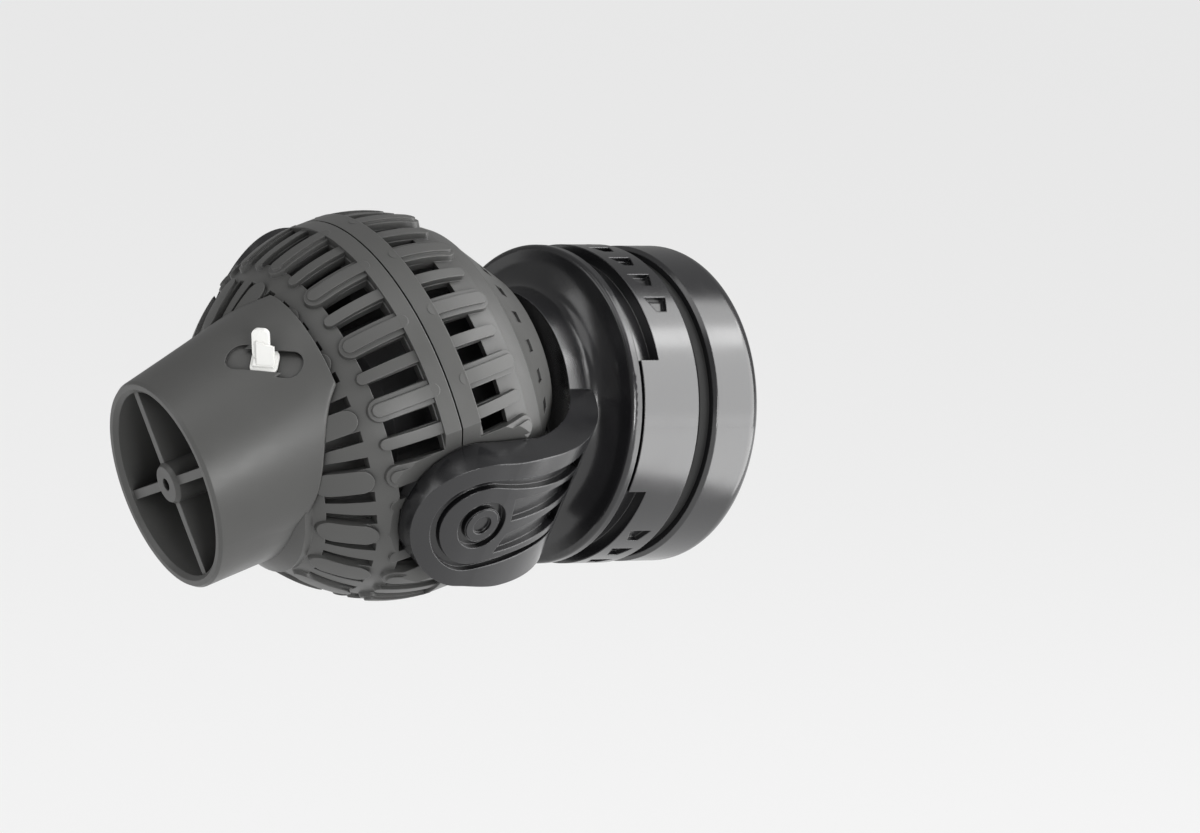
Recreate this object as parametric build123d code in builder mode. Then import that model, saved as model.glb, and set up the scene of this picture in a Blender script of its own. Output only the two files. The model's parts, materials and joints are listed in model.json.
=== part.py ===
"""Wave maker pump on a swivelling, tilting yoke, held to tank glass by two magnets."""
import os
from math import cos, radians, sin, sqrt

from build123d import *

# ---------------------------------------------------------------- driving dimensions (mm)
PIVOT_Y = -70.0            # ball centre, measured from the glass plane along the mount axis
SWIVEL = 25.5              # rest angle of the yoke about the mount axis
TILT = 23.0                # rest angle of the outlet below the mount axis
CREST_R = 45.5             # ball over its thick ribs
THIN_CREST_R = 44.9        # ball over its thin ribs
BAND_R = 45.3              # equator bands
SOCKET_R = 46.1            # spherical clearance of the yoke around the ball
FRONT_SKIN_R = 43.8
REAR_SKIN_R = 43.3
INNER_R = 41.7
SEAM_GAP = 0.2             # each cage half stands back this far from the equator
BAND_FRONT = 4.5
BAND_REAR = -5.0
RIB_PAIRS = 16
RIB_PITCH = 360 / RIB_PAIRS
RIB_PHASE = -2.0
THICK_RIB = 5.6
THICK_CROWN = 3.2
THIN_RIB = 2.8
SLOT_WIDTH = 3.8
SLOT_ANGLE = 6.5           # slot centre measured from the thick rib beside it
FLANGE_INNER_R = 37.2      # inner edge of the joining flanges at the equator
FLANGE_DEPTH = 3.0
FLAT_X = 39.5              # flats on the ball beside the yoke bosses
HUB_PLATE_R = 16.6
PIN_R = 3.0
RUNNING_GAP = 0.06
BOSS_INNER_X = 40.0
BOSS_FACE_X = 49.0
BOSS_R = 17.0
ARM_HALF_HEIGHT = 18.0
RELIEF_DEPTH = 1.6
TURRET_R = 27.0
TURRET_BASE_Y = -27.5
FLANGE_R = 37.4
FLANGE_BACK_Y = -19.0
WET_R = 37.5
WET_FRONT_Y = -18.6
WET_STEP_Y = -13.3
WET_BACK_Y = -1.5
WET_COLLAR_R = 34.5
LAND_ANGLE = 49.0          # full-radius land between the two arc windows
NOTCHES = 8
NOTCH_PITCH = 12.3
DRY_R = 37.2
DRY_FRONT_Y = 3.0
DRY_BACK_Y = 18.0
PAD_GAP = 0.15
PAD_R = 35.0
STUB_R = 6.0
NOZZLE_TIP = 56.0
NOZZLE_RIM_R = 25.2
RIM_CHAMFER = 0.8
NOZZLE_BORE_R = 22.4
THROAT_R = 21.6
THROAT_OUTER_R = 24.4
THROAT_BACK = 12.0
HOOD_SEAT_R = 44.75
HOOD_BASE = 20.0           # height of the hood's outline, where its straight sides end
HOOD_BOTTOM = 23.0
HUB_R = 5.0
HUB_BACK = 44.0
HUB_FRONT = 55.4
HUB_HOLE_R = 1.5
SPOKE_WIDTH = 2.2
SPOKE_ANGLE = 44.5
SHAFT_R = 1.5
BUSH_BORE_R = 1.55
HOUSING_R = 18.3
HOUSING_BACK = -34.6
HOUSING_FRONT = 8.0
WELL_R = 8.8
LATCH_ANGLE = 78.0         # where the latch track sits around the outlet
LATCH_POINT = (34.8, 34.0)  # radius and height of the track centre on the hood
LATCH_SLOPE = 24.4         # hood slope under the track
LATCH_TURN = -42.5         # track direction, turned in the plane of the hood
TRACK_LENGTH = 18.8
TRACK_WIDTH = 5.4
TRACK_DEPTH = 0.9
TRACK_UNDERCUT = 1.1
TRACK_FLOOR_WIDTH = 7.6
LATCH_TRAVEL = 5.0
LEAF_WIDTH = 4.1
LEAF_THICKNESS = 1.2
LEAF_LEAN = 45.0
GLAND_ANGLE = 108.0        # gland axis measured from the outlet direction, on the lower side
GLAND_R = 3.6
GLAND_BORE_R = 2.4

yoke_place = Location((0, 0, 0), (0, SWIVEL, 0))
outlet_direction = (0, -cos(radians(TILT)), -sin(radians(TILT)))
head_place = yoke_place * Plane(
    origin=(0, PIVOT_Y, 0), x_dir=(1, 0, 0), z_dir=outlet_direction
).location

gland_place = Location((0, 0, 0), (GLAND_ANGLE, 0, 0))

os.makedirs("parts", exist_ok=True)


def save(builder, name, place=None):
    """Put one sub-part in its rest place, name it and write its file."""
    shape = builder.part if place is None else builder.part.moved(place)
    shape.label = name
    export_step(shape, f"parts/{name}.step")


def on_sphere(radius, height):
    """Profile point (radius from axis, height) on a sphere about the ball centre."""
    return (sqrt(radius**2 - height**2), height)


def at_radius(radius, from_axis):
    """Profile point on the same sphere, chosen by its distance from the axis."""
    return (from_axis, sqrt(radius**2 - from_axis**2))


def sphere_arc(radius, start_height, end_height):
    """Arc of a meridian between two heights, for use inside a BuildLine."""
    middle = (start_height + end_height) / 2
    ThreePointArc(
        on_sphere(radius, start_height), on_sphere(radius, middle), on_sphere(radius, end_height)
    )


def ring(inner, outer, low, high):
    """Plain ring about Z between two heights."""
    with BuildPart() as body:
        with BuildSketch(Plane.XY.offset(low)):
            Circle(outer)
            Circle(inner, mode=Mode.SUBTRACT)
        extrude(amount=high - low)
    return body


def mount_ring(inner, outer, low, high):
    """Plain ring about the mount axis, from low to high along Y."""
    with BuildPart() as body:
        with BuildSketch(Plane.XY):
            with Locations(((inner + outer) / 2, (low + high) / 2)):
                Rectangle(outer - inner, high - low)
        revolve(axis=Axis.Y)
    return body


def rib_ring(width, crest, skin, low, high):
    """Sixteen raised meridian ribs with rounded ends."""
    with BuildPart() as rib:
        with BuildSketch(Plane.YZ):
            with Locations((0, (low + high) / 2)):
                SlotOverall(high - low, width, rotation=90)
        extrude(amount=crest + 1)
        Sphere(crest, mode=Mode.INTERSECT)
        Sphere(skin - 1, mode=Mode.SUBTRACT)
    return rib.part


def spread(shape, first_angle):
    """Copies of one shape at every rib pitch about the outlet axis."""
    return [shape.rotate(Axis.Z, first_angle + turn * RIB_PITCH) for turn in range(RIB_PAIRS)]


def slot_cutters(low, high, inner_reach, width):
    """Boxes that open the slots on both sides of each thick rib."""
    with BuildPart() as cutter:
        with Locations((0, 0, (low + high) / 2)):
            for side in (-SLOT_ANGLE, SLOT_ANGLE):
                with PolarLocations((inner_reach + 50) / 2, RIB_PAIRS, RIB_PHASE + side):
                    Box(50 - inner_reach, width, high - low)
    return cutter.part


def pivot_cutters():
    """Flats beside the yoke bosses and round seats for the hub plates."""
    with BuildPart() as cutter:
        for side in (-1, 1):
            with Locations((side * (FLAT_X + 5), 0, 0)):
                Box(10, 60, 60)
            with Locations((side * 40, 0, 0)):
                Cylinder(HUB_PLATE_R + 0.1, 20, rotation=(0, 90, 0))
    return cutter.part


# ---------------------------------------------------------------- ball cage, front half
front_thick_ribs = rib_ring(THICK_RIB, THIN_CREST_R, FRONT_SKIN_R, 2.5, 19.3)
front_crowns = rib_ring(THICK_CROWN, CREST_R, FRONT_SKIN_R, 2.5, 18.6)
front_thin_ribs = rib_ring(THIN_RIB, THIN_CREST_R, FRONT_SKIN_R, 2.5, 18.9)
inner_row_ribs = rib_ring(THICK_RIB, FRONT_SKIN_R + 0.8, FRONT_SKIN_R, 21.6, 33.0)
outer_slots = slot_cutters(4.8, 16.6, 35.0, SLOT_WIDTH)
inner_slots = slot_cutters(21.6, 31.0, 25.0, 2.6)
pivot_cut = pivot_cutters()

with BuildPart() as front_cage:
    with BuildSketch(Plane.XZ):
        with BuildLine():
            Polyline(
                (FLANGE_INNER_R, SEAM_GAP),
                (BAND_R, SEAM_GAP),
                (BAND_R, BAND_FRONT),
                on_sphere(FRONT_SKIN_R, BAND_FRONT),
            )
            sphere_arc(FRONT_SKIN_R, BAND_FRONT, at_radius(FRONT_SKIN_R, 28.6)[1])
            Line(at_radius(FRONT_SKIN_R, 28.6), at_radius(BAND_R, 28.6))
            sphere_arc(BAND_R, at_radius(BAND_R, 28.6)[1], at_radius(BAND_R, 24.6)[1])
            Line(at_radius(BAND_R, 24.6), at_radius(INNER_R, 24.6))
            sphere_arc(INNER_R, at_radius(INNER_R, 24.6)[1], FLANGE_DEPTH)
            Polyline(
                on_sphere(INNER_R, FLANGE_DEPTH),
                (FLANGE_INNER_R, FLANGE_DEPTH),
                (FLANGE_INNER_R, SEAM_GAP),
            )
        make_face()
    revolve(axis=Axis.Z)
    add(outer_slots, mode=Mode.SUBTRACT)
    add(inner_slots, mode=Mode.SUBTRACT)
    add(spread(front_thick_ribs, RIB_PHASE))
    add(spread(front_crowns, RIB_PHASE))
    add(spread(front_thin_ribs, RIB_PHASE + RIB_PITCH / 2))
    add(spread(inner_row_ribs, RIB_PHASE))
    with BuildSketch(Plane.XY.offset(SEAM_GAP)):
        with PolarLocations(39.5, 4, 45):
            Circle(1.1)
    extrude(amount=FLANGE_DEPTH, mode=Mode.SUBTRACT)
    add(pivot_cut, mode=Mode.SUBTRACT)
save(front_cage, "front_cage", head_place)

# ---------------------------------------------------------------- ball cage, rear half
rear_thick_ribs = rib_ring(THICK_RIB, THIN_CREST_R, REAR_SKIN_R, -20.2, -3.0)
rear_crowns = rib_ring(THICK_CROWN, CREST_R, REAR_SKIN_R, -19.6, -3.0)
rear_thin_ribs = rib_ring(THIN_RIB, THIN_CREST_R, REAR_SKIN_R, -18.4, -3.0)
rear_slots = slot_cutters(-13.4, -6.0, 34.0, SLOT_WIDTH)

with BuildPart() as rear_cage:
    with BuildSketch(Plane.XZ):
        with BuildLine():
            Polyline(
                (FLANGE_INNER_R, -SEAM_GAP),
                (BAND_R, -SEAM_GAP),
                (BAND_R, BAND_REAR),
                on_sphere(REAR_SKIN_R, BAND_REAR),
            )
            sphere_arc(REAR_SKIN_R, BAND_REAR, -20.4)
            Line(on_sphere(REAR_SKIN_R, -20.4), on_sphere(42.9, -20.6))
            sphere_arc(42.9, -20.6, -25.0)
            Polyline(
                on_sphere(42.9, -25.0),
                (33.6, -25.8),
                (19.8, -37.0),
                (12.0, -37.0),
                (12.0, -34.7),
                (18.6, -34.7),
                (32.2, -23.6),
                on_sphere(41.4, -18.0),
            )
            sphere_arc(41.4, -18.0, -FLANGE_DEPTH)
            Polyline(
                on_sphere(41.4, -FLANGE_DEPTH),
                (FLANGE_INNER_R, -FLANGE_DEPTH),
                (FLANGE_INNER_R, -SEAM_GAP),
            )
        make_face()
    revolve(axis=Axis.Z)
    add(rear_slots, mode=Mode.SUBTRACT)
    add(spread(rear_thick_ribs, RIB_PHASE))
    add(spread(rear_crowns, RIB_PHASE))
    add(spread(rear_thin_ribs, RIB_PHASE + RIB_PITCH / 2))
    with Locations((0, 0, -30.6)):
        with PolarLocations(28.6, 24):
            Box(2.4, 3.0, 3.6, rotation=(0, 51, 0), mode=Mode.SUBTRACT)
    with BuildSketch(Plane.XY.offset(-SEAM_GAP)):
        with PolarLocations(39.5, 4, 45):
            Circle(1.1)
    extrude(amount=-FLANGE_DEPTH, mode=Mode.SUBTRACT)
    with BuildSketch(Plane.XY.offset(-34.0)):
        with PolarLocations(14.6, 3, 30):
            Circle(1.2)
    extrude(amount=-4.0, mode=Mode.SUBTRACT)
    with Locations(gland_place * Location((0, 0, 42))):
        Cylinder(GLAND_R, 12, mode=Mode.SUBTRACT)
    add(pivot_cut, mode=Mode.SUBTRACT)
save(rear_cage, "rear_cage", head_place)

# ---------------------------------------------------------------- screws joining the cage halves
with BuildPart() as cage_screws:
    with BuildSketch(Plane.XY.offset(-FLANGE_DEPTH)):
        with PolarLocations(39.5, 4, 45):
            Circle(1.1)
    extrude(amount=2 * FLANGE_DEPTH)
    with BuildSketch(Plane.XY.offset(FLANGE_DEPTH)):
        with PolarLocations(39.5, 4, 45):
            Circle(1.9)
    extrude(amount=1.3)
save(cage_screws, "cage_screws", head_place)

# ---------------------------------------------------------------- hub plates the yoke pins turn in
with BuildPart() as pivot_hubs:
    for side in (-1, 1):
        with Locations((side * (FLAT_X - 1.25), 0, 0)):
            Cylinder(HUB_PLATE_R, 2.5, rotation=(0, 90, 0))
        with Locations((side * (FLAT_X - 5), 0, 0)):
            Cylinder(7.0, 6.0, rotation=(0, 90, 0))
        with Locations((side * (FLAT_X - 3), 0, 0)):
            Cylinder(PIN_R + RUNNING_GAP, 12, rotation=(0, 90, 0), mode=Mode.SUBTRACT)
save(pivot_hubs, "pivot_hubs", head_place)

# ---------------------------------------------------------------- outlet nozzle with its hood
hood_outline = [
    (0, 28.8), (8, 31.6), (18, 34.2), (30, 36.2), (46, 38.4), (62, 40.4), (78, 41.2), (90, 41.0),
    (104, 39.3), (120, 35.0), (137, 30.2), (155, 26.8), (180, 24.9), (230, 24.5), (290, 24.5),
    (330, 24.7), (350, 26.7),
]
hood_points = [(radius * cos(radians(a)), radius * sin(radians(a))) for a, radius in hood_outline]

with BuildPart() as cap_space:
    Sphere(BAND_R + 0.05)
    with BuildSketch(Plane.XY):
        Circle(28.7)
    extrude(amount=50, mode=Mode.INTERSECT)

with BuildPart() as hood:
    with BuildSketch(Plane.XY.offset(HOOD_BASE)):
        with BuildLine():
            Spline(*hood_points, periodic=True)
        make_face()
    with BuildSketch(Plane.XY.offset(NOZZLE_TIP - RIM_CHAMFER)):
        Circle(NOZZLE_RIM_R)
    loft(ruled=True)
    with BuildSketch(Plane.XY.offset(NOZZLE_TIP - RIM_CHAMFER)):
        Circle(NOZZLE_RIM_R)
    extrude(amount=RIM_CHAMFER, taper=36)
    with BuildSketch(Plane.XY.offset(HOOD_BASE - 1)):
        Circle(60)
    extrude(amount=HOOD_BOTTOM - HOOD_BASE + 1, mode=Mode.SUBTRACT)
    Sphere(HOOD_SEAT_R, mode=Mode.SUBTRACT)
    add(cap_space.part, mode=Mode.SUBTRACT)

track_plane = Plane(
    origin=(LATCH_POINT[0], 0, LATCH_POINT[1]),
    x_dir=(-sin(radians(LATCH_SLOPE)), 0, cos(radians(LATCH_SLOPE))),
    z_dir=(cos(radians(LATCH_SLOPE)), 0, sin(radians(LATCH_SLOPE))),
)
track_plane = Plane(track_plane.location * Location((0, 0, 0), (0, 0, LATCH_TURN)))
track_plane = Plane(Location((0, 0, 0), (0, 0, LATCH_ANGLE)) * track_plane.location)

with BuildPart() as track:
    with BuildSketch(track_plane.offset(-TRACK_DEPTH)):
        SlotOverall(TRACK_LENGTH, TRACK_WIDTH)
    extrude(amount=12)
    with BuildSketch(track_plane.offset(-TRACK_DEPTH - TRACK_UNDERCUT)):
        SlotOverall(TRACK_LENGTH, TRACK_FLOOR_WIDTH)
    extrude(amount=TRACK_UNDERCUT)

with BuildPart() as nozzle:
    with BuildSketch(Plane.XY.offset(THROAT_BACK)):
        Circle(THROAT_OUTER_R)
    extrude(amount=NOZZLE_TIP - THROAT_BACK - 6)
    add(hood.part)
    with BuildSketch(Plane.XY.offset(THROAT_BACK)):
        Circle(THROAT_R)
    extrude(amount=50, mode=Mode.SUBTRACT)
    with BuildSketch(Plane.XZ):
        with BuildLine():
            Polyline(
                (0, 32.0), (THROAT_R, 32.0), (NOZZLE_BORE_R, NOZZLE_TIP - 1.0),
                (NOZZLE_BORE_R + 1.0, NOZZLE_TIP), (NOZZLE_BORE_R + 1.0, 60), (0, 60), (0, 32.0),
            )
        make_face()
    revolve(axis=Axis.Z, mode=Mode.SUBTRACT)
    add(track.part, mode=Mode.SUBTRACT)
    with BuildSketch(Plane.XY.offset(HUB_BACK)):
        Rectangle(2 * NOZZLE_BORE_R + 1.2, SPOKE_WIDTH, rotation=SPOKE_ANGLE)
        Rectangle(2 * NOZZLE_BORE_R + 1.2, SPOKE_WIDTH, rotation=SPOKE_ANGLE + 90)
        Circle(HUB_R)
    extrude(amount=HUB_FRONT - HUB_BACK - 1.0)
    with BuildSketch(Plane.XY.offset(HUB_FRONT - 1.0)):
        Circle(HUB_R)
    extrude(amount=1.0, taper=35)
    with BuildSketch(Plane.XY.offset(HUB_BACK)):
        Circle(3.2)
    extrude(amount=6.6, mode=Mode.SUBTRACT)
    with BuildSketch(Plane.XY.offset(HUB_BACK)):
        Circle(HUB_HOLE_R)
    extrude(amount=14, mode=Mode.SUBTRACT)
save(nozzle, "nozzle", head_place)

# ---------------------------------------------------------------- sliding latch with two leaves
def leaf_plane(along, across):
    """Plane of one leaf's face, leaning over the track, at a place on the slider."""
    foot = track_plane.location * Location((along, across, -0.6))
    return Plane(foot * Location((0, 0, 0), (90 + LEAF_LEAN, 0, 0)))


with BuildPart() as latch:
    with BuildSketch(track_plane.offset(-TRACK_DEPTH - TRACK_UNDERCUT + 0.25)):
        RectangleRounded(TRACK_LENGTH - 2 * LATCH_TRAVEL - 2.2, TRACK_FLOOR_WIDTH - 1.2, 2.0)
    extrude(amount=TRACK_UNDERCUT - 0.5)
    with BuildSketch(track_plane.offset(-TRACK_DEPTH - TRACK_UNDERCUT + 0.25)):
        Rectangle(5.0, 3.2)
    extrude(amount=TRACK_UNDERCUT + TRACK_DEPTH - 0.6)
    with BuildSketch(leaf_plane(0.65, -0.5)):
        with Locations((0, 3.6)):
            RectangleRounded(LEAF_WIDTH, 7.2, 1.4)
    extrude(amount=LEAF_THICKNESS / 2, both=True)
    with BuildSketch(leaf_plane(-0.65, 0.9)):
        with BuildLine():
            Polyline((-LEAF_WIDTH / 2, 0), (LEAF_WIDTH / 2, 0), (LEAF_WIDTH / 2, 5.4))
            Line((LEAF_WIDTH / 2, 5.4), (-LEAF_WIDTH / 2, 4.2))
            Line((-LEAF_WIDTH / 2, 4.2), (-LEAF_WIDTH / 2, 0))
        make_face()
    extrude(amount=LEAF_THICKNESS / 2, both=True)
save(latch, "latch_slider", head_place)

# ---------------------------------------------------------------- motor housing and stator
with BuildPart() as motor_housing:
    with BuildSketch(Plane.XZ):
        with BuildLine():
            Polyline(
                (HOUSING_R, HOUSING_BACK),
                (HOUSING_R, 4.0),
                (14.0, HOUSING_FRONT),
                (WELL_R, HOUSING_FRONT),
                (WELL_R, -27.4),
                (0, -27.4),
                (0, -28.6),
                (WELL_R + 1.2, -28.6),
                (WELL_R + 1.2, HOUSING_FRONT - 1.6),
                (13.4, HOUSING_FRONT - 1.6),
                (HOUSING_R - 1.5, 3.4),
                (HOUSING_R - 1.5, HOUSING_BACK),
                (HOUSING_R, HOUSING_BACK),
            )
        make_face()
    revolve(axis=Axis.Z)
save(motor_housing, "motor_housing", head_place)

stator_core = ring(10.1, 16.7, -24.0, -6.0)
save(stator_core, "stator_core", head_place)

with BuildPart() as stator_coils:
    for low in (-27.8, -5.8):
        with BuildSketch(Plane.XY.offset(low)):
            Circle(16.0)
            Circle(10.6, mode=Mode.SUBTRACT)
        extrude(amount=3.6)
save(stator_coils, "stator_coils", head_place)

potting = ring(0.5, 16.6, -30.4, -28.8)
save(potting, "potting_disc", head_place)

with BuildPart() as motor_cap:
    with BuildSketch(Plane.XZ):
        with BuildLine():
            Polyline(
                (0, -30.6), (16.7, -30.6), (16.7, -31.5), (14.9, -31.5), (14.9, -33.5),
                (16.7, -33.5), (16.7, -34.6), (11.8, -34.6), (11.8, -37.4), (0, -37.4), (0, -30.6),
            )
        make_face()
    revolve(axis=Axis.Z)
    with BuildSketch(Plane.XY.offset(-34.6)):
        with PolarLocations(14.6, 3, 30):
            Circle(0.9)
    extrude(amount=1.1, mode=Mode.SUBTRACT)
save(motor_cap, "motor_cap", head_place)

with BuildPart() as cap_seal:
    with BuildSketch(Plane.XZ):
        with Locations((15.84, -32.5)):
            Circle(0.88)
    revolve(axis=Axis.Z)
save(cap_seal, "cap_seal", head_place)

with BuildPart() as motor_screws:
    with BuildSketch(Plane.XY.offset(-37.0)):
        with PolarLocations(14.6, 3, 30):
            Circle(0.9)
    extrude(amount=3.4)
    with BuildSketch(Plane.XY.offset(-37.0)):
        with PolarLocations(14.6, 3, 30):
            Circle(2.0)
    extrude(amount=-1.3)
save(motor_screws, "motor_screws", head_place)

rear_bush = ring(BUSH_BORE_R, 4.0, -27.3, -24.0)
save(rear_bush, "rear_bush", head_place)

bush_holder = ring(4.0, WELL_R, -27.3, -24.6)
save(bush_holder, "rear_bush_holder", head_place)

front_bush = ring(BUSH_BORE_R, 3.2, 44.2, 50.4)
save(front_bush, "front_bush", head_place)

with BuildPart() as cable_gland:
    with Locations(gland_place * Location((0, 0, 41.3))):
        Cylinder(GLAND_R, 7.6)
        Cylinder(GLAND_BORE_R, 7.6, mode=Mode.SUBTRACT)
save(cable_gland, "cable_gland", head_place)

# ---------------------------------------------------------------- impeller: shaft, magnet, propeller
with BuildPart() as shaft:
    with BuildSketch(Plane.XY.offset(-27.2)):
        Circle(SHAFT_R)
    extrude(amount=77.0)
save(shaft, "impeller_shaft", head_place)

rotor_magnet = ring(SHAFT_R, 8.2, -23.6, -2.0)
save(rotor_magnet, "rotor_magnet", head_place)

with BuildPart() as propeller:
    with BuildSketch(Plane.XY.offset(-1.8)):
        Circle(4.0)
    extrude(amount=14)
    with BuildSketch(Plane.XY.offset(12)):
        Circle(6.2)
    extrude(amount=14)
    with BuildSketch(Plane.XY.offset(26)):
        Circle(6.2)
    extrude(amount=5, taper=30)
    with PolarLocations(12.5, 4):
        with Locations((0, 0, 19)):
            Box(19, 1.5, 15, rotation=(-48, 0, 0))
    with BuildSketch(Plane.XY.offset(-5)):
        Circle(THROAT_R - 0.8)
    extrude(amount=45, mode=Mode.INTERSECT)
    with BuildSketch(Plane.XY.offset(-5)):
        Circle(SHAFT_R)
    extrude(amount=45, mode=Mode.SUBTRACT)
save(propeller, "propeller", head_place)

# ---------------------------------------------------------------- yoke: turret, dished flange, arms
arm_outline = [(49.0, 4.0), (46.6, 17.0), (39.4, 30.6), (27.0, 41.2), (19.0, 44.6)]
face_outline = [(44.2, -17.6), (46.6, -12.5), (48.4, -6.5), (49.0, 0.0)]


def inset_point(point, inset):
    """Outline point moved inwards, and towards the ball where the arm turns round behind it."""
    x, y = point
    return (x - inset, PIVOT_Y + y - inset * max(0, y - 4.0) / 40)


def arm_region(inset):
    """Face of the arm region seen along Z, drawn inside its outer edge by the inset."""
    face_points = [inset_point(point, inset) for point in face_outline]
    arm_points = [inset_point(point, inset) for point in arm_outline]
    end = arm_points[-1]
    with BuildSketch() as region:
        with BuildLine():
            Spline(*face_points)
            Line(face_points[-1], arm_points[0])
            Spline(*arm_points)
            Polyline(
                end, (10.0, end[1]), (10.0, PIVOT_Y + 20), (35.0, PIVOT_Y - 17.6), face_points[0]
            )
        make_face()
    return region.sketch


with BuildPart() as arm:
    add(arm_region(0))
    extrude(amount=ARM_HALF_HEIGHT, both=True)
    with BuildSketch(Plane.YZ.offset(5)):
        with BuildLine():
            ThreePointArc((PIVOT_Y, BOSS_R), (PIVOT_Y - BOSS_R, 0), (PIVOT_Y, -BOSS_R))
            Spline((PIVOT_Y, -BOSS_R), (PIVOT_Y + 14, -ARM_HALF_HEIGHT), tangents=((1, 0), (1, 0)))
            Polyline(
                (PIVOT_Y + 14, -ARM_HALF_HEIGHT), (-20, -ARM_HALF_HEIGHT),
                (-20, ARM_HALF_HEIGHT), (PIVOT_Y + 14, ARM_HALF_HEIGHT),
            )
            Spline((PIVOT_Y + 14, ARM_HALF_HEIGHT), (PIVOT_Y, BOSS_R), tangents=((-1, 0), (-1, 0)))
        make_face()
    extrude(amount=50, mode=Mode.INTERSECT)

with BuildPart() as ball_space:
    with Locations((0, PIVOT_Y, 0)):
        Sphere(SOCKET_R)
        Box(2 * BOSS_INNER_X, 100, 100, mode=Mode.INTERSECT)

with BuildPart() as relief:
    add(arm_region(0))
    extrude(amount=ARM_HALF_HEIGHT, both=True)
    add(arm_region(RELIEF_DEPTH))
    extrude(amount=ARM_HALF_HEIGHT, both=True, mode=Mode.SUBTRACT)
    with BuildSketch(Plane.YZ.offset(5)):
        with Locations((PIVOT_Y, 0)):
            Circle(6.4)
            Circle(4.6, mode=Mode.SUBTRACT)
        with BuildLine():
            ThreePointArc((PIVOT_Y, 10.4), (PIVOT_Y - 10.6, -0.6), (PIVOT_Y + 2, -10.6))
            Spline((PIVOT_Y + 2, -10.6), (PIVOT_Y + 14, -8.6), (PIVOT_Y + 30, -7.4))
            Line((PIVOT_Y + 30, -7.4), (PIVOT_Y + 30, -8.6))
            Spline((PIVOT_Y + 30, -8.6), (PIVOT_Y + 14, -10.4), (PIVOT_Y + 2, -12.4))
            ThreePointArc((PIVOT_Y + 2, -12.4), (PIVOT_Y - 12.8, -0.6), (PIVOT_Y, 12.4))
            Spline((PIVOT_Y, 12.4), (PIVOT_Y + 14, 13.0), (PIVOT_Y + 31, 13.6))
            Line((PIVOT_Y + 31, 13.6), (PIVOT_Y + 31, 9.0))
            Spline((PIVOT_Y + 31, 9.0), (PIVOT_Y + 14, 9.6), (PIVOT_Y, 10.4))
        make_face()
        with BuildLine():
            Spline((PIVOT_Y + 8.4, 0.8), (PIVOT_Y + 16, 1.6), (PIVOT_Y + 31, 2.6))
            Line((PIVOT_Y + 31, 2.6), (PIVOT_Y + 31, 7.4))
            Spline((PIVOT_Y + 31, 7.4), (PIVOT_Y + 16, 7.4), (PIVOT_Y + 7.0, 6.8))
            Line((PIVOT_Y + 7.0, 6.8), (PIVOT_Y + 8.4, 0.8))
        make_face()
        with BuildLine():
            Spline((PIVOT_Y + 6.8, -8.0), (PIVOT_Y + 16, -6.6), (PIVOT_Y + 30, -5.4))
            Line((PIVOT_Y + 30, -5.4), (PIVOT_Y + 30, 0.8))
            Spline((PIVOT_Y + 30, 0.8), (PIVOT_Y + 16, -1.0), (PIVOT_Y + 8.6, -3.0))
            Line((PIVOT_Y + 8.6, -3.0), (PIVOT_Y + 6.8, -8.0))
        make_face()
    extrude(amount=50, mode=Mode.INTERSECT)

socket_rim_y = PIVOT_Y + sqrt(SOCKET_R**2 - TURRET_R**2)

with BuildPart() as yoke:
    with BuildSketch(Plane.XY):
        with BuildLine():
            Line((STUB_R + RUNNING_GAP, -36), (TURRET_R, -36))
            Line((TURRET_R, -36), (TURRET_R, TURRET_BASE_Y))
            Spline(
                (TURRET_R, TURRET_BASE_Y), (28.4, -24.2), (32.0, -22.4), (36.2, -22.0),
                tangents=((0, 1), (1, 0)),
            )
            ThreePointArc((36.2, -22.0), (37.2, -21.5), (FLANGE_R, -20.6))
            Polyline(
                (FLANGE_R, -20.6), (FLANGE_R, -19.4), (FLANGE_R - 0.4, FLANGE_BACK_Y),
                (25.0, FLANGE_BACK_Y), (25.0, -28.4), (14.0, -23.4), (14.0, FLANGE_BACK_Y),
                (STUB_R + RUNNING_GAP, FLANGE_BACK_Y), (STUB_R + RUNNING_GAP, -36),
            )
        make_face()
    revolve(axis=Axis.Y)
    add(arm.part)
    add(arm.part.mirror(Plane.YZ))
    add(ball_space.part, mode=Mode.SUBTRACT)
    add(relief.part, mode=Mode.SUBTRACT)
    add(relief.part.mirror(Plane.YZ), mode=Mode.SUBTRACT)
    with BuildSketch(Plane.XZ.offset(21.5)):
        Circle(10.0)
    extrude(amount=20, mode=Mode.SUBTRACT)
    for side in (-1, 1):
        with Locations((side * 45, PIVOT_Y, 0)):
            Cylinder(PIN_R, 20, rotation=(0, 90, 0), mode=Mode.SUBTRACT)
        with Locations((side * (BOSS_FACE_X - 1.4 + 5), PIVOT_Y, 0)):
            Cylinder(4.4, 10, rotation=(0, 90, 0), mode=Mode.SUBTRACT)
save(yoke, "yoke_frame", yoke_place)

# ---------------------------------------------------------------- pins the ball tilts on
with BuildPart() as pivot_pins:
    for side in (-1, 1):
        with Locations((side * 41.3, PIVOT_Y, 0)):
            Cylinder(PIN_R, 12.6, rotation=(0, 90, 0))
        with Locations((side * (BOSS_FACE_X - 0.7), PIVOT_Y, 0)):
            Cylinder(4.3, 1.4, rotation=(0, 90, 0))
        with Locations((side * (BOSS_FACE_X + 0.2), PIVOT_Y, 0)):
            Cylinder(2.4, 2.0, rotation=(0, 90, 0), mode=Mode.SUBTRACT)
save(pivot_pins, "pivot_pins", yoke_place)

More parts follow.
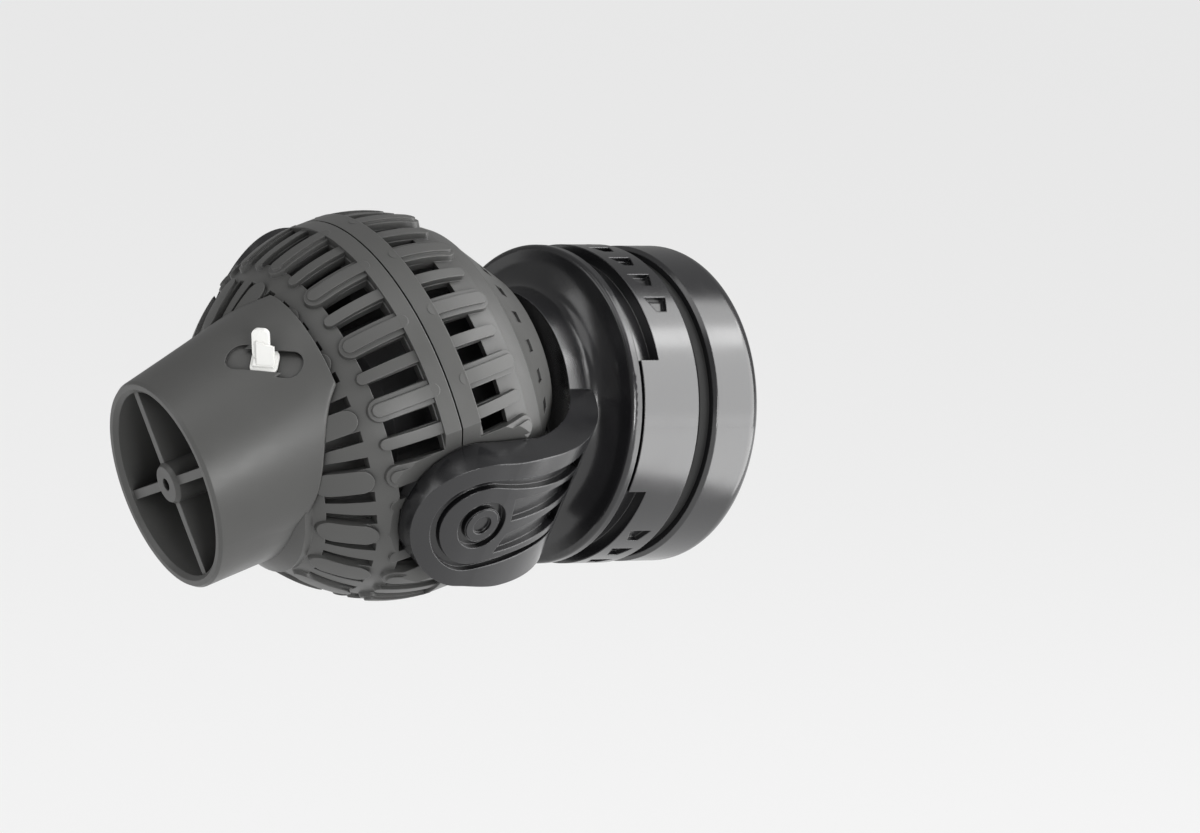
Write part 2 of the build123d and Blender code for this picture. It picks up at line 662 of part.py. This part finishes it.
# ---------------------------------------------------------------- wet side of the magnet mount
with BuildPart() as wet_case:
    with BuildSketch(Plane.XY):
        with BuildLine():
            Polyline(
                (0, -21.6), (STUB_R, -21.6), (STUB_R, WET_FRONT_Y + 0.2), (11.0, WET_FRONT_Y + 0.2),
                (11.0, -3.4), (32.2, -3.4), (32.2, WET_FRONT_Y), (WET_R, WET_FRONT_Y),
                (WET_R, WET_BACK_Y - 0.8), (WET_R - 0.8, WET_BACK_Y), (0, WET_BACK_Y), (0, -21.6),
            )
        make_face()
    revolve(axis=Axis.Y)
    for start in (LAND_ANGLE / 2, LAND_ANGLE / 2 + 180):
        with BuildSketch(Plane.XY.rotated((0, start, 0))):
            with Locations((WET_COLLAR_R + 5, WET_STEP_Y - 5)):
                Rectangle(10, 10)
        revolve(axis=Axis.Y, revolution_arc=180 - LAND_ANGLE, mode=Mode.SUBTRACT)
    with BuildSketch(Plane.XZ.offset(21.6)):
        Circle(1.5)
    extrude(amount=-12, mode=Mode.SUBTRACT)

with BuildPart() as notch:
    with BuildSketch(Plane.XY.offset(WET_R - 1.3)):
        with Locations((0, -7.8)):
            Trapezoid(6.4, 4.2, 68, rotation=-90)
    extrude(amount=6)

notch_angles = [(index - (NOTCHES - 1) / 2) * NOTCH_PITCH for index in range(NOTCHES)]
notch_angles = notch_angles + [angle + 180 for angle in notch_angles]

with BuildPart() as wet_magnet_case:
    add(wet_case.part)
    for angle in notch_angles:
        add(notch.part.rotate(Axis.Y, angle), mode=Mode.SUBTRACT)
save(wet_magnet_case, "wet_magnet_case")

wet_cover = mount_ring(11.1, 32.1, WET_FRONT_Y + 0.2, -16.6)
save(wet_cover, "wet_magnet_cover")

wet_plate = mount_ring(11.1, 31.8, -16.5, -14.9)
save(wet_plate, "wet_steel_plate")

wet_magnet = mount_ring(11.3, 31.8, -14.8, -3.5)
save(wet_magnet, "wet_magnet_ring")

wet_pad = mount_ring(0, PAD_R, WET_BACK_Y, -PAD_GAP)
save(wet_pad, "wet_rubber_pad")

swivel_washer = mount_ring(1.6, 9.0, -22.4, -21.6)
save(swivel_washer, "swivel_washer")

with BuildPart() as swivel_screw:
    with BuildSketch(Plane.XZ.offset(22.4)):
        Circle(3.5)
    extrude(amount=1.4)
    with BuildSketch(Plane.XZ.offset(22.4)):
        Circle(1.5)
    extrude(amount=-12)
save(swivel_screw, "swivel_screw")

# ---------------------------------------------------------------- dry side of the magnet mount
with BuildPart() as dry_case:
    with BuildSketch(Plane.XY):
        with BuildLine():
            Polyline((0, 14.2), (33.2, 14.2), (33.2, DRY_FRONT_Y), (36.4, DRY_FRONT_Y), (DRY_R, 3.8))
            Line((DRY_R, 3.8), (DRY_R, DRY_BACK_Y - 4.2))
            RadiusArc((DRY_R, DRY_BACK_Y - 4.2), (DRY_R - 4.2, DRY_BACK_Y), -4.2)
            Polyline((DRY_R - 4.2, DRY_BACK_Y), (0, DRY_BACK_Y), (0, 14.2))
        make_face()
    revolve(axis=Axis.Y)
save(dry_case, "dry_magnet_case")

dry_plate = mount_ring(0, 31.8, 12.4, 14.1)
save(dry_plate, "dry_steel_plate")

dry_magnet = mount_ring(9.0, 31.8, DRY_FRONT_Y + 1.8, 12.3)
save(dry_magnet, "dry_magnet_ring")

dry_cover = mount_ring(0, 33.1, DRY_FRONT_Y, DRY_FRONT_Y + 1.6)
save(dry_cover, "dry_magnet_cover")

dry_pad = mount_ring(0, PAD_R, PAD_GAP, DRY_FRONT_Y)
save(dry_pad, "dry_rubber_pad")
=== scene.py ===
"""Looks for the wave maker pump: procedural materials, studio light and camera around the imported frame."""
import json
from math import cos, radians, sin

import bpy
from mathutils import Matrix, Vector


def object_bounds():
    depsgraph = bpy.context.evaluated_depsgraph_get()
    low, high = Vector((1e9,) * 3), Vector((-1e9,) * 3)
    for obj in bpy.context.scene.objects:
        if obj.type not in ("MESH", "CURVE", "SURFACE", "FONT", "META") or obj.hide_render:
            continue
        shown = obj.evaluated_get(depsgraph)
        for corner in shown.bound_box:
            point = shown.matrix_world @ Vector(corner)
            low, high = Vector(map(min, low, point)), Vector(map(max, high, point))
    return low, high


EDGE_ROUGHNESS = 0.08     # added roughness on the worn and highlighted edges
CREVICE_REACH = 0.006     # metres that the crevice shading looks around
CREVICE_SHADE = 0.12      # painted shade: colour left in the deepest crevice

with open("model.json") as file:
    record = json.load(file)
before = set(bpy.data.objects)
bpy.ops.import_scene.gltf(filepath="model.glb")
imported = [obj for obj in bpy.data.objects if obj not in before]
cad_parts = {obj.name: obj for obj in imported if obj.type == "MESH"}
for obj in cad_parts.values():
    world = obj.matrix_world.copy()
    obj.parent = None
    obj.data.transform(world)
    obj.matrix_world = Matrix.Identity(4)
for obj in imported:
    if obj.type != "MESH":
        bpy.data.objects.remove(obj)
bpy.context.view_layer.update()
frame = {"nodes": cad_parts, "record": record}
nodes = frame["nodes"]
scene = bpy.context.scene


# ---------------------------------------------------------------- node helpers
class Graph:
    """A material's node tree, with short calls for the nodes used here."""

    def __init__(self, name):
        self.material = bpy.data.materials.new(name)
        self.material.use_nodes = True
        self.tree = self.material.node_tree
        self.shader = self.tree.nodes["Principled BSDF"]
        self.place = self.new("ShaderNodeTexCoord").outputs["Object"]

    def new(self, kind, **settings):
        node = self.tree.nodes.new(kind)
        for key, value in settings.items():
            setattr(node, key, value)
        return node

    def feed(self, socket, value):
        if isinstance(value, bpy.types.NodeSocket):
            self.tree.links.new(value, socket)
        else:
            socket.default_value = value

    def noise(self, size, detail=2.0, stretch=(1, 1, 1)):
        """Noise whose blotches are about size metres across."""
        place = self.new("ShaderNodeMapping")
        self.feed(place.inputs["Vector"], self.place)
        place.inputs["Scale"].default_value = stretch
        node = self.new("ShaderNodeTexNoise")
        self.feed(node.inputs["Vector"], place.outputs["Vector"])
        node.inputs["Scale"].default_value = 1.0 / size
        node.inputs["Detail"].default_value = detail
        return node.outputs["Fac"]

    def remap(self, value, low, high, to_low, to_high):
        node = self.new("ShaderNodeMapRange")
        self.feed(node.inputs["Value"], value)
        node.inputs["From Min"].default_value = low
        node.inputs["From Max"].default_value = high
        node.inputs["To Min"].default_value = to_low
        node.inputs["To Max"].default_value = to_high
        return node.outputs["Result"]

    def math(self, operation, a, b):
        node = self.new("ShaderNodeMath", operation=operation)
        self.feed(node.inputs[0], a)
        self.feed(node.inputs[1], b)
        return node.outputs["Value"]

    def mix(self, share, a, b):
        node = self.new("ShaderNodeMix", data_type="RGBA")
        self.feed(node.inputs["Factor"], share)
        self.feed(node.inputs["A"], a)
        self.feed(node.inputs["B"], b)
        return node.outputs["Result"]

    def rounded(self, radius):
        """Normal that rounds the moulded edges."""
        node = self.new("ShaderNodeBevel", samples=6)
        node.inputs["Radius"].default_value = radius
        return node.outputs["Normal"]

    def edges(self, rounded):
        """One along the edges that the rounding touches, nought on the faces."""
        flat = self.new("ShaderNodeNewGeometry").outputs["Normal"]
        node = self.new("ShaderNodeVectorMath", operation="DOT_PRODUCT")
        self.feed(node.inputs[0], rounded)
        self.feed(node.inputs[1], flat)
        return self.remap(node.outputs["Value"], 0.985, 0.86, 0.0, 1.0)

    def crevices(self, reach):
        """Mask for painted shade: one deep in slots and corners, nought on open faces."""
        node = self.new("ShaderNodeAmbientOcclusion", samples=4)
        node.inputs["Distance"].default_value = reach
        return self.remap(node.outputs["AO"], 0.25, 0.9, 1.0, 0.0)

    def bump(self, height, depth, normal):
        node = self.new("ShaderNodeBump")
        node.inputs["Strength"].default_value = 1.0
        node.inputs["Distance"].default_value = depth
        self.feed(node.inputs["Height"], height)
        self.feed(node.inputs["Normal"], normal)
        return node.outputs["Normal"]


def shade(colour, factor):
    return tuple(min(1.0, channel * factor) for channel in colour) + (1.0,)


def finish(
    name, colour, rough, rough_spread=0.05, variation=0.06, grain=0.0004, depth=0.000008,
    edge_radius=0.0003, edge_light=1.5, metallic=0.0, stretch=(1, 1, 1), specular=0.5, painted_shade=0.0,
):
    """Moulded or machined surface: blotches in colour, uneven gloss, fine grain, edges lightened partly as
    wear and partly as a painted highlight, and painted shade in crevices.
    """
    graph = Graph(name)
    shader = graph.shader
    rounded = graph.rounded(edge_radius)
    patches = graph.remap(graph.noise(0.003), 0.35, 0.7, 0.2, 1.0)
    wear_and_highlight = graph.math("MULTIPLY", graph.edges(rounded), patches)
    blotch = graph.remap(graph.noise(0.03, 4.0), 0.3, 0.7, 0.0, 1.0)
    body = graph.mix(blotch, shade(colour, 1 - variation), shade(colour, 1 + variation))
    # Edges lightened in patches: partly wear, partly a painted highlight on the rims.
    body = graph.mix(wear_and_highlight, body, shade(colour, edge_light))
    # Painted shade: the base colour is darkened in slots and corners where the occlusion mask is high.
    if painted_shade:
        deep = graph.math("MULTIPLY", graph.crevices(CREVICE_REACH), painted_shade)
        body = graph.mix(deep, body, shade(colour, CREVICE_SHADE))
    graph.feed(shader.inputs["Base Color"], body)
    gloss = graph.remap(
        graph.noise(0.008, 5.0), 0.3, 0.7, rough - rough_spread, rough + rough_spread
    )
    graph.feed(
        shader.inputs["Roughness"],
        graph.math("ADD", gloss, graph.math("MULTIPLY", wear_and_highlight, EDGE_ROUGHNESS)),
    )
    grains = graph.noise(grain, 3.0, stretch)
    waves = graph.math("MULTIPLY", graph.noise(0.012, 1.0), 2.0)
    graph.feed(shader.inputs["Normal"], graph.bump(graph.math("ADD", grains, waves), depth, rounded))
    shader.inputs["Metallic"].default_value = metallic
    shader.inputs["Specular IOR Level"].default_value = specular
    return graph.material


# ---------------------------------------------------------------- finishes, one for each material slot
finishes = {
    "ball_plastic": finish(
        "ball_grey_satin", (0.071, 0.071, 0.069), 0.36, variation=0.05, grain=0.0003,
        depth=0.000012, edge_radius=0.00035, edge_light=1.9, painted_shade=0.9, specular=0.32,
    ),
    "arm_plastic": finish(
        "arm_black_semi_gloss", (0.010, 0.010, 0.011), 0.21, variation=0.12, grain=0.00035,
        depth=0.000016, edge_radius=0.0004, edge_light=2.2, painted_shade=0.8, specular=0.7,
    ),
    "case_plastic": finish(
        "case_black_gloss", (0.009, 0.009, 0.010), 0.19, rough_spread=0.03, variation=0.1,
        grain=0.0006, depth=0.000004, edge_radius=0.0004, edge_light=1.8, painted_shade=0.6,
        specular=0.95,
    ),
    "latch_plastic": finish(
        "latch_white", (0.74, 0.74, 0.72), 0.30, variation=0.03, grain=0.0003, depth=0.000006,
        edge_radius=0.0002, edge_light=1.05,
    ),
    "inner_plastic": finish(
        "inner_dark_plastic", (0.030, 0.030, 0.031), 0.42, grain=0.0004, depth=0.000012,
    ),
    "propeller_plastic": finish(
        "propeller_grey", (0.045, 0.045, 0.047), 0.35, grain=0.0004, depth=0.000008,
    ),
    "potting": finish(
        "potting_resin", (0.012, 0.012, 0.012), 0.25, grain=0.002, depth=0.00003,
    ),
    "rubber": finish(
        "rubber_black", (0.016, 0.016, 0.016), 0.78, variation=0.15, grain=0.00025,
        depth=0.00002, edge_light=1.6, specular=0.3,
    ),
    "stainless": finish(
        "stainless_steel", (0.60, 0.60, 0.58), 0.25, metallic=1.0, grain=0.0002, depth=0.000004,
        stretch=(1, 1, 12), edge_light=1.1,
    ),
    "plated_steel": finish(
        "zinc_plated_steel", (0.50, 0.51, 0.53), 0.35, metallic=1.0, variation=0.12,
        grain=0.001, depth=0.000006, edge_light=1.1,
    ),
    "core_steel": finish(
        "laminated_steel", (0.32, 0.32, 0.33), 0.42, metallic=1.0, grain=0.0005,
        depth=0.00003, stretch=(0.1, 0.1, 3), edge_light=1.2,
    ),
    "copper": finish(
        "enamelled_copper", (0.62, 0.25, 0.10), 0.28, metallic=1.0, grain=0.0004,
        depth=0.00004, stretch=(0.1, 0.1, 2), edge_light=1.2,
    ),
    "magnet": finish(
        "sintered_magnet", (0.12, 0.12, 0.125), 0.48, metallic=0.6, variation=0.12,
        grain=0.0008, depth=0.00002, edge_light=1.5,
    ),
    "ceramic": finish(
        "polished_ceramic", (0.80, 0.78, 0.72), 0.14, variation=0.02, grain=0.0004,
        depth=0.000003, edge_light=1.02,
    ),
}

for entry in frame["record"]["subparts"]:
    mesh = nodes[entry["node"]].data
    mesh.materials.clear()
    mesh.materials.append(finishes[entry["material_slot"]])


# ---------------------------------------------------------------- camera
CAMERA_AZIMUTH = 50.0
CAMERA_ELEVATION = 7.0
CAMERA_ROLL = 5.3
CAMERA_DISTANCE = 3.0
LENS = 386.0
AIM = (0.0, -0.050, 0.0)
AIM_RIGHT = 0.0376
AIM_UP = -0.002718

azimuth = radians(CAMERA_AZIMUTH)
elevation = radians(CAMERA_ELEVATION)
back = Vector((sin(azimuth) * cos(elevation), -cos(azimuth) * cos(elevation), sin(elevation)))
turn = back.to_track_quat("Z", "Y").to_matrix() @ Matrix.Rotation(radians(CAMERA_ROLL), 3, "Z")
camera = bpy.data.objects.new("camera", bpy.data.cameras.new("camera"))
scene.collection.objects.link(camera)
camera.data.sensor_width = 36.0
camera.data.lens = LENS
camera.data.clip_start = 0.1
camera.data.clip_end = 100.0
camera.rotation_mode = "QUATERNION"
camera.rotation_quaternion = turn.to_quaternion()
camera.location = Vector(AIM) + turn @ Vector((AIM_RIGHT, AIM_UP, 0)) + back * CAMERA_DISTANCE
scene.camera = camera


# ---------------------------------------------------------------- floor, world and lamps
def pale(name, value, rough, glow):
    """Pale backdrop material that glows a little, for an even ground."""
    graph = Graph(name)
    blotch = graph.remap(graph.noise(0.4, 3.0), 0.3, 0.7, 0.0, 1.0)
    colour = graph.mix(blotch, shade((value,) * 3, 0.995), shade((value,) * 3, 1.005))
    graph.feed(graph.shader.inputs["Base Color"], colour)
    graph.shader.inputs["Roughness"].default_value = rough
    graph.shader.inputs["Specular IOR Level"].default_value = 0.1
    graph.feed(graph.shader.inputs["Emission Color"], (1.0, 1.0, 1.0, 1.0))
    graph.shader.inputs["Emission Strength"].default_value = glow
    return graph.material


FLOOR_DROP = 0.09
FLOOR_REACH = 14.0
FLOOR_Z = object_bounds()[0].z - FLOOR_DROP
floor_mesh = bpy.data.meshes.new("floor")
corners = [(-1, -1), (1, -1), (1, 1), (-1, 1)]
floor_mesh.from_pydata(
    [(FLOOR_REACH * x, FLOOR_REACH * y, FLOOR_Z) for x, y in corners], [], [(0, 1, 2, 3)]
)
floor = bpy.data.objects.new("floor", floor_mesh)
scene.collection.objects.link(floor)
floor_mesh.materials.append(pale("floor_pale", 0.12, 0.9, 0.755))

world = bpy.data.worlds.new("studio")
scene.world = world
world.use_nodes = True
world.node_tree.nodes["Background"].inputs["Color"].default_value = (0.80, 0.80, 0.80, 1)
world.node_tree.nodes["Background"].inputs["Strength"].default_value = 0.35


def lamp(name, direction, distance, size, power, aim=AIM):
    """Soft box that faces a point near the object, from a direction in the row frame."""
    data = bpy.data.lights.new(name, "AREA")
    data.shape = "RECTANGLE"
    data.size, data.size_y = size
    data.energy = power
    light = bpy.data.objects.new(name, data)
    scene.collection.objects.link(light)
    towards = Vector(direction).normalized()
    light.location = Vector(aim) + towards * distance
    light.rotation_mode = "QUATERNION"
    light.rotation_quaternion = towards.to_track_quat("Z", "Y")
    light.visible_camera = False
    return light


lamp("right_panel", (0.62, 0.72, 0.26), 1.1, (1.0, 1.2), 15)
lamp("upper_panel", (0.42, 0.60, 0.95), 1.3, (1.0, 0.8), 8)
lamp("low_panel", (0, 0, -1), 0.42, (0.70, 0.75), 6, aim=(0.43, 0.50, 0.292))
lamp("front_panel", (1.0, -0.35, -0.08), 1.2, (0.5, 0.7), 14)
lamp("top_panel", (0.25, -0.45, 1.0), 1.4, (1.2, 1.0), 5)
lamp("left_panel", (-0.35, -1.0, 0.35), 1.6, (0.9, 1.2), 6)

scene.view_settings.view_transform = "Standard"
scene.view_settings.look = "None"
